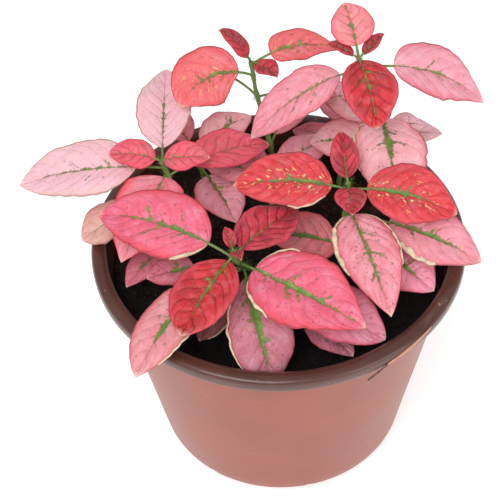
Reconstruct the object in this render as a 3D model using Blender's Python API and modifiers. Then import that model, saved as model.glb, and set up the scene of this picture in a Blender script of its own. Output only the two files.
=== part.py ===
# Potted polka dot plant: a thermoformed nursery pot, the potting mix that fills it,
# and eight leafy stems that stand in the mix. Metres, +Z up, the pot stands on z = 0.

from collections import namedtuple
from math import cos, pi, radians, sin

import bmesh
import bpy
from mathutils import Vector

# Lengths are given in millimetres and angles in degrees.
MM = 0.001
WELD = 0.0000005

# The pot. Its rim is rolled over the wall and hangs down outside it as a skirt. Each point of
# the rim is given as how far it lies in from the rim's edge and down from its top.
POT_HEIGHT = 87.0
RIM_RADIUS = 60.0
RIM_OVER = [(4.7, 0.7), (3.5, 0.1), (2.2, 0.0), (0.8, 0.4), (0.0, 1.4), (0.0, 3.8)]
RIM_UNDER = [(1.0, 3.8), (1.0, 1.8), (2.4, 1.1), (3.2, 1.4)]
THROAT_DEPTH = 2.2
WALL = 1.0
WALL_TOP_RADIUS = 55.9
WALL_TOP_DEPTH = 3.8
WALL_FOOT_RADIUS = 44.2
FOOT_HEIGHT = 5.0
FOOT_RADIUS = 41.0
FLOOR = 1.2
TURN_STEPS = 40
FOOT_HOLES = 8
FOOT_HOLE_RADIUS = 3.4
FOOT_HOLE_START = pi / 16
FLOOR_HOLES = 6
FLOOR_HOLE_RADIUS = 3.5
FLOOR_HOLE_CIRCLE = 23.0
CUTTER_LENGTH = 5.0
CUTTER_SIDES = 10

# The potting mix
SOIL_HEIGHT = 76.6
SOIL_BUMP = 0.45
SOIL_RINGS = 5
GAP = 0.3

# The stems and leaf stalks
STEM_RADIUS = 1.4
TIP_RADIUS = 0.85
STALK_RADIUS = 0.8
STALK_END_RADIUS = 0.65
RIB_RADIUS = 0.55
STALK_END = 0.06
RIB_END = 0.33
BURIED = 13.0
HOLE_RADIUS = 1.8

# The leaf blades
BLADE = 0.65
FULLNESS = 1.5
LEAST_HALF_WIDTH = 0.45
FOLD = 0.42
ARCH = 0.30
WAVE = 0.07
WAVES = 1.6
WAVE_SHIFT = 2.2
SMALL_LEAF = 17.0
LEAF_CELLS = (6, 4)
SMALL_LEAF_CELLS = (4, 2)
CENTRE_LINE_STEPS = 40

# A leaf leaves its stem at a height, turned from +X and rising by an angle. Over the whole
# leaf it swings sideways and bends down. The stalk comes first, then the blade, which may roll
# and is widest at a share of its length.
Leaf = namedtuple(
    "Leaf", "height turn swing rise bend stalk length width roll widest", defaults=[0.42]
)

# A stem follows its path up from the surface of the mix. Its leaves stand in opposite pairs,
# each pair turned from the next.
STEMS = {
    "stem_left": (
        [(-25, 4, 77), (-31, 8, 92), (-35, 12, 104), (-36, 12, 108)],
        [
            Leaf(105, 178, 5, 6, 26, 9, 39, 22, -13),
            Leaf(102, 32, -6, 12, 36, 8, 30, 17, 5),
            Leaf(107, 91, 0, 13, 20, 6, 39, 18, 0),
            Leaf(103, -111, -8, -2, 30, 2, 32, 22, 0, 0.36),
            Leaf(108, 180, 0, 30, 36, 2, 15, 11, -15),
            Leaf(108, -5, 0, 24, 34, 1, 15, 11, 15),
            Leaf(93, 190, 14, 4, 30, 13, 21, 18, 0, 0.5),
            Leaf(86, -127, 0, 6, 22, 12, 20, 11, 0),
        ],
    ),
    "stem_back": (
        [(1, 30, 77), (-2, 34, 96), (-6, 38, 115), (-7, 39, 125)],
        [
            Leaf(120, 155, 95, 6, 34, 5, 24, 21, -30, 0.45),
            Leaf(124, 18, -14, 30, 60, 7, 24, 14, 10, 0.28),
            Leaf(126, 159, 0, 62, 34, 2, 13, 8, 0),
            Leaf(125, -38, 0, 15, 40, 2, 9, 8, 0),
            Leaf(112, 125, 20, 8, 36, 14, 18, 13, 0),
            Leaf(112, 14, -8, 8, 34, 9, 19, 13, 0),
            Leaf(94, 68, 0, 16, 26, 5, 22, 14, 0),
        ],
    ),
    "stem_back_right": (
        [(36, 21, 77), (37, 28, 94), (34, 31, 110), (28, 28, 127), (26, 27, 135)],
        [
            Leaf(134, 108, 0, 60, 34, 4, 14, 14, 0),
            Leaf(134, 160, 0, 36, 30, 2, 9, 5, 0),
            Leaf(134, 35, 0, 36, 10, 2, 9, 5, 0),
            Leaf(130, 192, 6, -7, 44, 7, 35, 16, -18, 0.4),
            Leaf(130, 2, -10, 8, 56, 10, 33, 22, 10, 0.34),
            Leaf(134, -77, 4, -2, 66, 1, 23, 17, 0, 0.45),
            Leaf(108, -84, 0, 10, 60, 2, 35, 23, 0),
            Leaf(108, 95, 0, 8, 34, 4, 24, 15, 0),
            Leaf(104, 2, 0, 14, 30, 3, 11, 10, 0),
            Leaf(102, 132, 0, 18, 28, 5, 27, 15, 0),
            Leaf(98, 174, 0, 10, 26, 3, 22, 17, -18),
        ],
    ),
    "stem_right": (
        [(20, -5, 77), (21, -3, 92), (22, 0, 103), (22, 0, 108)],
        [
            Leaf(105, 175, 4, 18, 34, 5, 31, 20, -15),
            Leaf(105, -13, -2, 14, 42, 6, 29, 21, 14),
            Leaf(107, 98, 0, 46, 16, 2, 15, 9, 0),
            Leaf(107, -86, 0, 12, 40, 2, 10, 10, 0),
            Leaf(100, -76, 4, 4, 34, 6, 36, 19, 0, 0.38),
            Leaf(96, -20, -2, 8, 34, 14, 31, 20, 10),
            Leaf(89, -40, 0, 8, 28, 15, 20, 20, 0),
            Leaf(84, -174, 0, 34, 30, 2, 24, 18, -14),
        ],
    ),
    "stem_front": (
        [(-5, -13, 77), (-8, -19, 90), (-13, -24, 100), (-13, -25, 105)],
        [
            Leaf(101, 150, 12, 18, 34, 9, 38, 23, -15, 0.4),
            Leaf(98, -36, 7, 6, 22, 6, 38, 27, 4, 0.38),
            Leaf(103, 48, 0, 6, 22, 3, 26, 17, 0),
            Leaf(103, -120, 0, 6, 30, 3, 28, 19, 0, 0.5),
            Leaf(105, 110, 0, 40, 20, 1, 7, 4, 0),
            Leaf(105, -70, 0, 40, 20, 1, 7, 4, 0),
            Leaf(93, -149, 36, 6, 26, 14, 36, 17, 0, 0.46),
            Leaf(95, -81, 10, 6, 66, 5, 33, 19, 0, 0.6),
            Leaf(88, -36, 10, 4, 22, 15, 31, 20, 4, 0.5),
            Leaf(84, -46, 0, 4, 20, 22, 19, 13, 0),
            Leaf(88, -130, 0, 0, 34, 14, 14, 11, 0),
            Leaf(90, 172, 20, 6, 18, 18, 15, 13, 0),
        ],
    ),
    "stem_middle": (
        [(0, 8, 77), (-2, 14, 88), (-3, 18, 95)],
        [
            Leaf(94, 152, 6, 10, 22, 4, 20, 14, -8),
            Leaf(93, 48, 0, 10, 24, 6, 26, 14, 0),
            Leaf(90, 116, 0, 16, 22, 6, 24, 12, 0),
            Leaf(95, -60, 0, 40, 20, 1, 8, 5, 0),
        ],
    ),
    "stem_back_left": (
        [(-23, 25, 77), (-25, 29, 88), (-27, 32, 96)],
        [
            Leaf(95, 38, 0, 18, 28, 3, 21, 15, 0),
            Leaf(89, -62, 0, 2, 24, 5, 21, 17, 0),
            Leaf(95, 128, 0, 20, 30, 4, 24, 14, 0),
        ],
    ),
    "stem_far_back": (
        [(22, 34, 77), (24, 39, 86), (25, 42, 93)],
        [
            Leaf(90, 2, 0, 10, 20, 14, 19, 13, 0),
            Leaf(92, 100, 0, 14, 30, 4, 24, 14, 0),
            Leaf(90, 52, 0, 8, 30, 5, 22, 13, 0),
            Leaf(88, 150, 0, 8, 26, 4, 17, 12, 0),
        ],
    ),
}


def clear_scene():
    """Remove every object, so the script can be run again."""
    for old in list(bpy.data.objects):
        bpy.data.objects.remove(old, do_unlink=True)


def new_collection(name):
    collection = bpy.data.collections.new(name)
    bpy.context.scene.collection.children.link(collection)
    return collection


def new_material(name, colour, roughness):
    """A Principled material of one colour."""
    material = bpy.data.materials.new(name)
    material.use_nodes = True
    shader = material.node_tree.nodes["Principled BSDF"]
    shader.inputs["Base Color"].default_value = (*colour, 1.0)
    shader.inputs["Roughness"].default_value = roughness
    shader.inputs["Metallic"].default_value = 0.0
    return material


def add_object(name, data, collection):
    piece = bpy.data.objects.new(name, data)
    collection.objects.link(piece)
    return piece


def mesh_from_bmesh(bm, name):
    mesh = bpy.data.meshes.new(name)
    bm.to_mesh(mesh)
    bm.free()
    return mesh


def bake_shape(piece):
    """Replace a piece by a mesh of how it looks with its modifiers, or of its curve."""
    bpy.context.view_layer.update()
    shown = piece.evaluated_get(bpy.context.evaluated_depsgraph_get())
    mesh = bpy.data.meshes.new_from_object(shown)
    bm = bmesh.new()
    bm.from_mesh(mesh)
    bmesh.ops.remove_doubles(bm, verts=bm.verts, dist=WELD)
    bm.to_mesh(mesh)
    bm.free()
    baked = add_object(piece.name + "_baked", mesh, piece.users_collection[0])
    baked.matrix_world = piece.matrix_world
    name = piece.name
    bpy.data.objects.remove(piece, do_unlink=True)
    baked.name = name
    mesh.name = name
    return baked


def turned(name, profile, collection):
    """A solid of revolution: the profile runs from the axis, over the top, down its outer side."""
    mesh = bpy.data.meshes.new(name)
    points = [(radius * MM, 0.0, height * MM) for radius, height in profile]
    edges = [(i, i + 1) for i in range(len(points) - 1)]
    mesh.from_pydata(points, edges, [])
    piece = add_object(name, mesh, collection)
    screw = piece.modifiers.new("turn", "SCREW")
    screw.steps = TURN_STEPS
    screw.render_steps = TURN_STEPS
    screw.use_merge_vertices = True
    screw.merge_threshold = WELD
    return piece


def combine(piece, others, operation):
    """Join or cut a piece with everything in a collection, then remove that collection."""
    boolean = piece.modifiers.new("combine", "BOOLEAN")
    boolean.operation = operation
    boolean.operand_type = "COLLECTION"
    boolean.collection = others
    boolean.solver = "EXACT"
    piece = bake_shape(piece)
    for other in list(others.objects):
        bpy.data.objects.remove(other, do_unlink=True)
    bpy.data.collections.remove(others)
    return piece


def round_cutter(name, centre, direction, radius, length, collection):
    """A cylinder to cut a hole with, its axis along a direction."""
    bm = bmesh.new()
    radius *= MM
    bmesh.ops.create_cone(
        bm,
        cap_ends=True,
        segments=CUTTER_SIDES,
        radius1=radius,
        radius2=radius,
        depth=length * MM,
    )
    cutter = add_object(name, mesh_from_bmesh(bm, name), collection)
    cutter.location = Vector(centre) * MM
    cutter.rotation_mode = "QUATERNION"
    cutter.rotation_quaternion = Vector(direction).to_track_quat("Z", "Y")
    cutter.hide_render = True
    cutter.display_type = "WIRE"
    return cutter


def around(count, radius, height, start=0.0):
    """Evenly spaced places on a level circle, with the outward direction of each."""
    for i in range(count):
        angle = start + 2 * pi * i / count
        outward = Vector((cos(angle), sin(angle), 0.0))
        yield outward * radius + Vector((0, 0, height)), outward


def inner_wall_radius(height):
    """Radius of the inside of the pot's wall at a height."""
    wall_top = POT_HEIGHT - WALL_TOP_DEPTH
    share = (height - FOOT_HEIGHT) / (wall_top - FOOT_HEIGHT)
    return WALL_FOOT_RADIUS + share * (WALL_TOP_RADIUS - WALL_FOOT_RADIUS) - WALL


def make_pot(collection):
    """A thin pot whose rim rolls over and hangs down as a skirt, with holes round its foot."""
    throat = POT_HEIGHT - THROAT_DEPTH
    corner = FOOT_HEIGHT + WALL / 2
    profile = [
        (0, FLOOR),
        (FOOT_RADIUS - FLOOR, FLOOR),
        (inner_wall_radius(corner), corner),
        (inner_wall_radius(throat), throat),
    ]
    profile += [(RIM_RADIUS - inward, POT_HEIGHT - down) for inward, down in RIM_OVER + RIM_UNDER]
    profile += [
        (WALL_TOP_RADIUS, POT_HEIGHT - WALL_TOP_DEPTH),
        (WALL_FOOT_RADIUS, FOOT_HEIGHT),
        (FOOT_RADIUS, 0),
        (0, 0),
    ]
    pot = bake_shape(turned("pot", profile, collection))
    holes = new_collection("pot_cutters")
    middle = (WALL_FOOT_RADIUS + FOOT_RADIUS) / 2
    for centre, outward in around(FOOT_HOLES, middle, FOOT_HEIGHT / 2, FOOT_HOLE_START):
        slope = outward * FOOT_HEIGHT + Vector((0, 0, FOOT_RADIUS - WALL_FOOT_RADIUS))
        round_cutter("foot_hole", centre, slope, FOOT_HOLE_RADIUS, CUTTER_LENGTH, holes)
    for centre, _ in around(FLOOR_HOLES, FLOOR_HOLE_CIRCLE, FLOOR / 2):
        round_cutter("floor_hole", centre, (0, 0, 1), FLOOR_HOLE_RADIUS, CUTTER_LENGTH, holes)
    return combine(pot, holes, "DIFFERENCE")


def soil_height(x, y):
    """Height in millimetres of the uneven surface of the mix."""
    return SOIL_HEIGHT + SOIL_BUMP * (sin(0.31 * x + 0.9) * cos(0.27 * y) + sin(0.3 * y - 0.2 * x))


def make_potting_mix(collection):
    """The mix fills the pot and has one plain hole for each stem."""
    wall_radius = inner_wall_radius(SOIL_HEIGHT) - GAP
    profile = [(wall_radius * i / SOIL_RINGS, SOIL_HEIGHT) for i in range(SOIL_RINGS + 1)]
    corner = FOOT_HEIGHT + WALL / 2
    profile.append((inner_wall_radius(corner) - GAP, corner))
    profile.append((FOOT_RADIUS - FLOOR - GAP, FLOOR + GAP))
    profile.append((0, FLOOR + GAP))
    mix = bake_shape(turned("potting_mix", profile, collection))
    for vertex in mix.data.vertices:
        if vertex.co.z > (SOIL_HEIGHT - 1) * MM:
            vertex.co.z = soil_height(vertex.co.x / MM, vertex.co.y / MM) * MM
    holes = new_collection("mix_cutters")
    for path, _ in STEMS.values():
        foot, along = Vector(path[0]), Vector(path[1]) - Vector(path[0])
        along.normalize()
        depth = BURIED + GAP
        centre = foot + along * (CUTTER_LENGTH - depth) / 2
        round_cutter("stem_hole", centre, along, HOLE_RADIUS, CUTTER_LENGTH + depth, holes)
    return combine(mix, holes, "DIFFERENCE")


def tube(name, points, radii, collection):
    """A round tube through points in millimetres, each with its own radius."""
    curve = bpy.data.curves.new(name, "CURVE")
    curve.dimensions = "3D"
    curve.bevel_depth = MM
    curve.bevel_resolution = 1
    curve.use_fill_caps = True
    spline = curve.splines.new("POLY")
    spline.points.add(len(points) - 1)
    for place, point, radius in zip(spline.points, points, radii):
        place.co = (*(Vector(point) * MM), 1.0)
        place.radius = radius
    return bake_shape(add_object(name, curve, collection))


def place_on_stem(path, height):
    """The point of a stem's path at a height."""
    for low, high in zip(path, path[1:]):
        if height <= high[2]:
            share = (height - low[2]) / (high[2] - low[2])
            return Vector(low).lerp(Vector(high), share)
    return Vector(path[-1])


def centre_line(start, leaf):
    """Points and directions along a leaf, from its stem to its tip, in even steps."""
    step = (leaf.stalk + leaf.length) / CENTRE_LINE_STEPS
    point = start.copy()
    line = []
    for i in range(CENTRE_LINE_STEPS + 1):
        share = i / CENTRE_LINE_STEPS
        turn = radians(leaf.turn + leaf.swing * share)
        rise = radians(leaf.rise - leaf.bend * share)
        ahead = Vector((cos(turn) * cos(rise), sin(turn) * cos(rise), sin(rise)))
        line.append((point.copy(), ahead))
        point += ahead * step
    return line


def on_line(line, share):
    """Point and direction at a share of the way along a centre line."""
    place = min(share * CENTRE_LINE_STEPS, CENTRE_LINE_STEPS - 0.001)
    i = int(place)
    return line[i][0].lerp(line[i + 1][0], place - i), line[i][1]


def half_width(leaf, along):
    """Half the blade's width at a share of its length, pointed at the tip."""
    base, tip = FULLNESS * leaf.widest, FULLNESS * (1 - leaf.widest)
    full = leaf.widest**base * (1 - leaf.widest) ** tip
    shape = along**base * (1 - along) ** tip / full
    return max(leaf.width / 2 * shape, LEAST_HALF_WIDTH)


def blade_point(line, leaf, along, across):
    """A point of the blade: sunk along the rib, crowned on each half, waved at the margin."""
    point, ahead = on_line(line, (leaf.stalk + along * leaf.length) / (leaf.stalk + leaf.length))
    side = Vector((0, 0, 1)).cross(ahead).normalized()
    up = ahead.cross(side)
    roll = radians(leaf.roll)
    rolled_side = side * cos(roll) + up * sin(roll)
    rolled_up = up * cos(roll) - side * sin(roll)
    half = half_width(leaf, along)
    out = abs(across)
    wave = WAVE * out**2 * sin(2 * pi * WAVES * along + (WAVE_SHIFT if across > 0 else 0))
    lift = FOLD * out - ARCH * out**2 + wave
    return point + rolled_side * across * half + rolled_up * lift * half


def add_blade(line, leaf, collection):
    """A leaf blade: a flat grid bent by formula, split into triangles and thickened."""
    cells_along, cells_across = SMALL_LEAF_CELLS if leaf.length < SMALL_LEAF else LEAF_CELLS
    bm = bmesh.new()
    bmesh.ops.create_grid(bm, x_segments=cells_along, y_segments=cells_across, size=1.0)
    for vertex in bm.verts:
        along = (1 - cos(pi * (vertex.co.x + 1) / 2)) / 2
        vertex.co = blade_point(line, leaf, along, vertex.co.y) * MM
    bmesh.ops.triangulate(bm, faces=bm.faces)
    blade = add_object("blade", mesh_from_bmesh(bm, "blade"), collection)
    thicken = blade.modifiers.new("thicken", "SOLIDIFY")
    thicken.thickness = BLADE * MM
    thicken.offset = 0.0


def add_stalk(line, leaf, collection):
    """A leaf stalk from the middle of the stem to a third of the way along the blade."""
    whole = leaf.stalk + leaf.length
    ends = [0.0, leaf.stalk / 2, leaf.stalk + STALK_END * leaf.length]
    ends.append(leaf.stalk + RIB_END * leaf.length)
    points = [on_line(line, end / whole)[0] for end in ends]
    slim = min(1.0, leaf.length / SMALL_LEAF)
    radii = [STALK_RADIUS * slim, STALK_RADIUS * slim, STALK_END_RADIUS, RIB_RADIUS]
    tube("stalk", points, radii, collection)


def make_stem(name, path, leaves, collection):
    """One leafy stem, joined into one solid with its stalks and blades."""
    first, second = Vector(path[0]), Vector(path[1])
    buried = first - (second - first).normalized() * BURIED
    points = [buried] + [Vector(point) for point in path]
    low, high = buried.z, points[-1].z
    radii = []
    for point in points:
        radii.append(STEM_RADIUS + (TIP_RADIUS - STEM_RADIUS) * (point.z - low) / (high - low))
    stem = tube(name, points, radii, collection)
    growth = new_collection(name + "_growth")
    for leaf in leaves:
        line = centre_line(place_on_stem(path, leaf.height), leaf)
        add_stalk(line, leaf, growth)
        add_blade(line, leaf, growth)
    return combine(stem, growth, "UNION")


def main():
    clear_scene()
    plant = new_collection("potted_polka_dot_plant")
    terracotta = new_material("terracotta_plastic", (0.46, 0.19, 0.14), 0.55)
    dark_mix = new_material("dark_potting_mix", (0.012, 0.010, 0.008), 0.95)
    foliage = new_material("pink_foliage", (0.85, 0.20, 0.26), 0.5)
    make_pot(plant).data.materials.append(terracotta)
    make_potting_mix(plant).data.materials.append(dark_mix)
    for name, (path, leaves) in STEMS.items():
        stem = make_stem(name, path, leaves, plant)
        stem.data.materials.clear()
        stem.data.materials.append(foliage)


main()
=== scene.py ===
# %% [markdown]
# A potted polka dot plant.
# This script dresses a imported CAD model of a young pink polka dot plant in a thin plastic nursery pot.
# The CAD model gives every place and size. Each plain solid is replaced with a finer piece that keeps
# its form: a spun pot, crumbly potting mix, thin veined leaves and tapering green shoots.

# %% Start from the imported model
import random
from collections import namedtuple
from functools import partial
from math import cos, exp, pi, radians, sin

import bmesh
import bpy
from mathutils import Matrix, Vector, noise


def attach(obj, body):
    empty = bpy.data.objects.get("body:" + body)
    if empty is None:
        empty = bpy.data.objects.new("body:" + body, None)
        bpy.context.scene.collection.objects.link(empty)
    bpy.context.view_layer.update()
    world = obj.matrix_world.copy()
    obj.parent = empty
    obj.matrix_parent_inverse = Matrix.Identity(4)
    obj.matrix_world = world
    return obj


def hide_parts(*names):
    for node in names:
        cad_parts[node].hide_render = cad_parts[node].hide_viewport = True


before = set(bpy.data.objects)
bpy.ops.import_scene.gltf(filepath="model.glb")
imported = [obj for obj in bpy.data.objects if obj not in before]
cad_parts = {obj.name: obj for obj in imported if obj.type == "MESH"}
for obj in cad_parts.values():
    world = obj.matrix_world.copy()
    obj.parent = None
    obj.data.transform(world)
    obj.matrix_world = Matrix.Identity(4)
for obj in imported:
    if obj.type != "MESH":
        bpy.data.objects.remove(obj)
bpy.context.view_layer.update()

MM = 0.001
ORIGIN = Vector((0, 0, 0))
UP = Vector((0, 0, 1))
scene = bpy.context.scene
print("nodes:", sorted(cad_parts))

# %% [markdown]
# The camera stands where the photographer stood: in front of the pot, close above it, and looking
# down at it by about 47 degrees. Its turn could be set with three Euler angles, but writing down
# where it looks, and which way is right and up for it, is easier to read and to check.

# %% Camera
CAMERA_PLACE = Vector((0, -248, 343))
YAW = radians(-2.1)
PITCH = radians(46.8)
ROLL = radians(-3.0)


def look_along(yaw, pitch, roll):
    ahead = Vector((sin(yaw) * cos(pitch), cos(yaw) * cos(pitch), -sin(pitch)))
    level = ahead.cross(UP).normalized()
    above = level.cross(ahead)
    right = level * cos(roll) + above * sin(roll)
    up = above * cos(roll) - level * sin(roll)
    return Matrix((right, up, -ahead)).transposed().to_4x4()


camera_data = bpy.data.cameras.new("camera")
camera_data.lens = 80
camera_data.sensor_width = 36
camera = bpy.data.objects.new("camera", camera_data)
camera.matrix_world = Matrix.Translation(CAMERA_PLACE * MM) @ look_along(YAW, PITCH, ROLL)
scene.collection.objects.link(camera)
scene.camera = camera
print("camera stands", round(CAMERA_PLACE.length), "mm from the pot's foot")

# %% [markdown]
# The photo is taken on white with soft light from all round. A pale world gives that even light, and
# shows itself as white only where the camera sees it. A large lamp near the camera, a little to its left,
# gives the leaves their shape, and a weaker one from the front right lights the shaded side. The
# Standard view keeps the pinks as bright as they are, where the default view would grey them.

# %% Light
SKY = 0.56
BACKDROP = 1.0
LAMP_WIDTH = 0.34
LAMPS = {"key_lamp": ((-140, -330, 560), 1.9), "fill_lamp": ((420, -380, 300), 0.8)}

scene.view_settings.view_transform = "Standard"
world = bpy.data.worlds.new("white_room")
world.use_nodes = True
world.node_tree.nodes["Background"].inputs["Color"].default_value = (1, 1, 1, 1)
rays = world.node_tree.nodes.new("ShaderNodeLightPath")
strength = world.node_tree.nodes.new("ShaderNodeMapRange")
strength.inputs["To Min"].default_value = SKY
strength.inputs["To Max"].default_value = BACKDROP
world.node_tree.links.new(rays.outputs["Is Camera Ray"], strength.inputs["Value"])
world.node_tree.links.new(strength.outputs[0], world.node_tree.nodes["Background"].inputs["Strength"])
scene.world = world

for name, (place, watts) in LAMPS.items():
    lamp_data = bpy.data.lights.new(name, "AREA")
    lamp_data.energy = watts
    lamp_data.size = LAMP_WIDTH
    lamp = bpy.data.objects.new(name, lamp_data)
    lamp.location = Vector(place) * MM
    lamp.rotation_euler = (Vector(place) * -1).to_track_quat("-Z", "Y").to_euler()
    scene.collection.objects.link(lamp)
    print(name, watts, "W at", place)

# %% [markdown]
# Colours are picked as numbers from 0 to 255, as paint programs show them, but shaders work with
# linear light. One small function turns the first kind into the second.

# %% Paint
def paint(red, green, blue):
    def linear(part):
        share = part / 255
        return share / 12.92 if share <= 0.04045 else ((share + 0.055) / 1.055) ** 2.4
    return (linear(red), linear(green), linear(blue), 1)


# %% [markdown]
# Shader trees are built here from a few short helpers: one for each kind of step. A helper takes plain
# numbers or sockets of other nodes, so that a pattern reads like a formula.

# %% Shader helpers
def feed(tree, socket, value):
    if isinstance(value, bpy.types.NodeSocket):
        tree.links.new(value, socket)
    else:
        socket.default_value = value


def maths(tree, operation, *values):
    node = tree.nodes.new("ShaderNodeMath")
    node.operation = operation
    for socket, value in zip(node.inputs, values):
        feed(tree, socket, value)
    return node.outputs[0]


def mixed(tree, share, first, second):
    node = tree.nodes.new("ShaderNodeMix")
    node.data_type = "RGBA"
    feed(tree, node.inputs[0], share)
    feed(tree, node.inputs[6], first)
    feed(tree, node.inputs[7], second)
    return node.outputs[2]


def ramp(tree, value, start, end, low=0.0, high=1.0):
    """Turns value smoothly from low to high as it goes from start to end."""
    node = tree.nodes.new("ShaderNodeMapRange")
    node.interpolation_type = "SMOOTHSTEP"
    for socket, number in zip(node.inputs, (value, start, end, low, high)):
        feed(tree, socket, number)
    return node.outputs[0]


def cloud(tree, place, scale, detail=2.0, seed=0.0):
    """Soft noise from 0 to 1. The seed is a place in a fourth dimension."""
    node = tree.nodes.new("ShaderNodeTexNoise")
    node.noise_dimensions = "4D"
    feed(tree, node.inputs["Vector"], place)
    feed(tree, node.inputs["W"], seed)
    node.inputs["Scale"].default_value = scale
    node.inputs["Detail"].default_value = detail
    return node.outputs["Fac"]


def stretched(tree, place, scale):
    node = tree.nodes.new("ShaderNodeVectorMath")
    node.operation = "MULTIPLY"
    feed(tree, node.inputs[0], place)
    node.inputs[1].default_value = scale
    return node.outputs[0]


def split(tree, place):
    node = tree.nodes.new("ShaderNodeSeparateXYZ")
    feed(tree, node.inputs[0], place)
    return node.outputs


def object_place(tree):
    return tree.nodes.new("ShaderNodeTexCoord").outputs["Object"]


def raised(tree, height, distance, strength=1.0):
    """A normal that shades the surface as if it rose by height times distance."""
    node = tree.nodes.new("ShaderNodeBump")
    node.inputs["Strength"].default_value = strength
    node.inputs["Distance"].default_value = distance
    feed(tree, node.inputs["Height"], height)
    return node.outputs["Normal"]


def new_material(name, **values):
    """A material with its Principled shader, whose plain sockets are set by name."""
    material = bpy.data.materials.new(name)
    material.use_nodes = True
    shader = material.node_tree.nodes["Principled BSDF"]
    for socket, value in values.items():
        shader.inputs[socket.replace("_", " ")].default_value = value
    return material, material.node_tree, shader.inputs


def new_group(name, inputs, outputs):
    group = bpy.data.node_groups.new(name, "ShaderNodeTree")
    for socket, kind in inputs.items():
        group.interface.new_socket(socket, in_out="INPUT", socket_type="NodeSocket" + kind)
    for socket, kind in outputs.items():
        group.interface.new_socket(socket, in_out="OUTPUT", socket_type="NodeSocket" + kind)
    entry = group.nodes.new("NodeGroupInput").outputs
    result = group.nodes.new("NodeGroupOutput").inputs
    return group, entry, result


def placed_group(tree, group, **values):
    node = tree.nodes.new("ShaderNodeGroup")
    node.node_tree = group
    for socket, value in values.items():
        feed(tree, node.inputs[socket.replace("_", " ")], value)
    return node.outputs


# %% [markdown]
# The floor is plain and as white as the paper roll in a photo studio. It is only the stage, so it isn't
# part of the object. A little light of its own keeps it white under the plant's soft shadow.

# %% Floor
FLOOR_WIDTH = 3
FLOOR_GLOW = 0.45

floor_form = bmesh.new()
bmesh.ops.create_grid(floor_form, x_segments=2, y_segments=2, size=FLOOR_WIDTH / 2)
floor_mesh = bpy.data.meshes.new("floor")
floor_form.to_mesh(floor_mesh)
floor_form.free()
floor = bpy.data.objects.new("floor", floor_mesh)
scene.collection.objects.link(floor)
floor_paint, _, _ = new_material(
    "white_floor", Base_Color=paint(246, 246, 246), Roughness=0.9,
    Emission_Color=(1, 1, 1, 1), Emission_Strength=FLOOR_GLOW)
floor_mesh.materials.append(floor_paint)

# %% [markdown]
# Every piece goes through the same last steps: its form becomes an object at the origin with its place
# in its mesh, smooth faces, its materials and the body that it rides on, and the CAD nodes that it stands
# for are hidden. One function does that, so no piece can miss a step.

# %% Finishing a piece
def finish_piece(name, form, materials, nodes, sharp=None):
    for face in form.faces:
        face.smooth = True
    mesh = bpy.data.meshes.new(name)
    form.to_mesh(mesh)
    form.free()
    for material in materials:
        mesh.materials.append(material)
    if sharp is not None:
        mesh.set_sharp_from_angle(angle=radians(sharp))
    piece = bpy.data.objects.new(name, mesh)
    scene.collection.objects.link(piece)
    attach(piece, "root")
    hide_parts(*nodes)
    return piece


def face_outwards(form):
    bmesh.ops.recalc_face_normals(form, faces=form.faces[:])


def move_points(form, change):
    """Gives every point the place that change works out for it, all at once."""
    for point in form.verts:
        point.co = change(point.co)

# %% [markdown]
# The pot is thin plastic, formed over a mould: a cup that widens to a rim, which is rolled outwards and
# ends in a short skirt. It could be lathed from a Screw modifier, but spinning half a section round the
# axis gives the mesh at once. The section's few corners are rounded first by cutting them twice.

# %% The pot's section
POT_HEIGHT = 87
RIM_RADIUS = 60
FOOT_RADIUS = 41
FOOT_HEIGHT = 5
FLOOR = 1.2
WALL = 1.0
WALL_FOOT = 44.2
WALL_TOP = 55.9
WALL_TOP_HEIGHT = 83.2
THROAT_HEIGHT = 84.8
SPIN_STEPS = 144


def inner_radius(height):
    """The inside radius of the tapered wall."""
    share = (height - FOOT_HEIGHT) / (WALL_TOP_HEIGHT - FOOT_HEIGHT)
    return WALL_FOOT + share * (WALL_TOP - WALL_FOOT) - WALL


def cut_corners(points, times):
    """Rounds a line of points by cutting off its corners, and keeps its two ends."""
    for _ in range(times):
        rounded = [points[0]]
        for (r0, z0), (r1, z1) in zip(points, points[1:]):
            rounded.append((r0 * 0.75 + r1 * 0.25, z0 * 0.75 + z1 * 0.25))
            rounded.append((r0 * 0.25 + r1 * 0.75, z0 * 0.25 + z1 * 0.75))
        points = rounded + [points[-1]]
    return points


def evenly_filled(points, gap):
    """Adds points so that no step of the line is longer than gap."""
    filled = [points[0]]
    for (r0, z0), (r1, z1) in zip(points, points[1:]):
        steps = max(1, round(((r1 - r0) ** 2 + (z1 - z0) ** 2) ** 0.5 / gap))
        for step in range(1, steps + 1):
            share = step / steps
            filled.append((r0 + (r1 - r0) * share, z0 + (z1 - z0) * share))
    return filled


rim_run = [(RIM_RADIUS - inwards, POT_HEIGHT - down) for inwards, down in (
    (4.9, 1.0), (3.7, 0.15), (2.2, 0.0), (0.7, 0.3), (0.0, 1.3), (0.0, 3.9), (0.4, 4.1), (1.0, 3.8),
    (1.1, 1.9), (2.4, 1.2), (3.3, 1.6))]
inside_run = [(0, FLOOR), (FOOT_RADIUS - FLOOR, FLOOR), (inner_radius(5.5), 5.5),
              (inner_radius(THROAT_HEIGHT), THROAT_HEIGHT)]
outside_run = [(WALL_TOP, WALL_TOP_HEIGHT - 0.6), (WALL_FOOT, FOOT_HEIGHT), (FOOT_RADIUS, 0), (0, 0)]
pot_section = evenly_filled(inside_run, 4) + cut_corners(rim_run, 2) + evenly_filled(outside_run, 4)
print("the pot's section has", len(pot_section), "points")

# %% [markdown]
# After the spin, the two ends of the section lie on the axis as many points in one place, which are
# merged. The thin wall is never quite true on a real pot, so its points move in and out by a hair.

# %% Spin the pot
WOBBLE = 0.22


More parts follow.
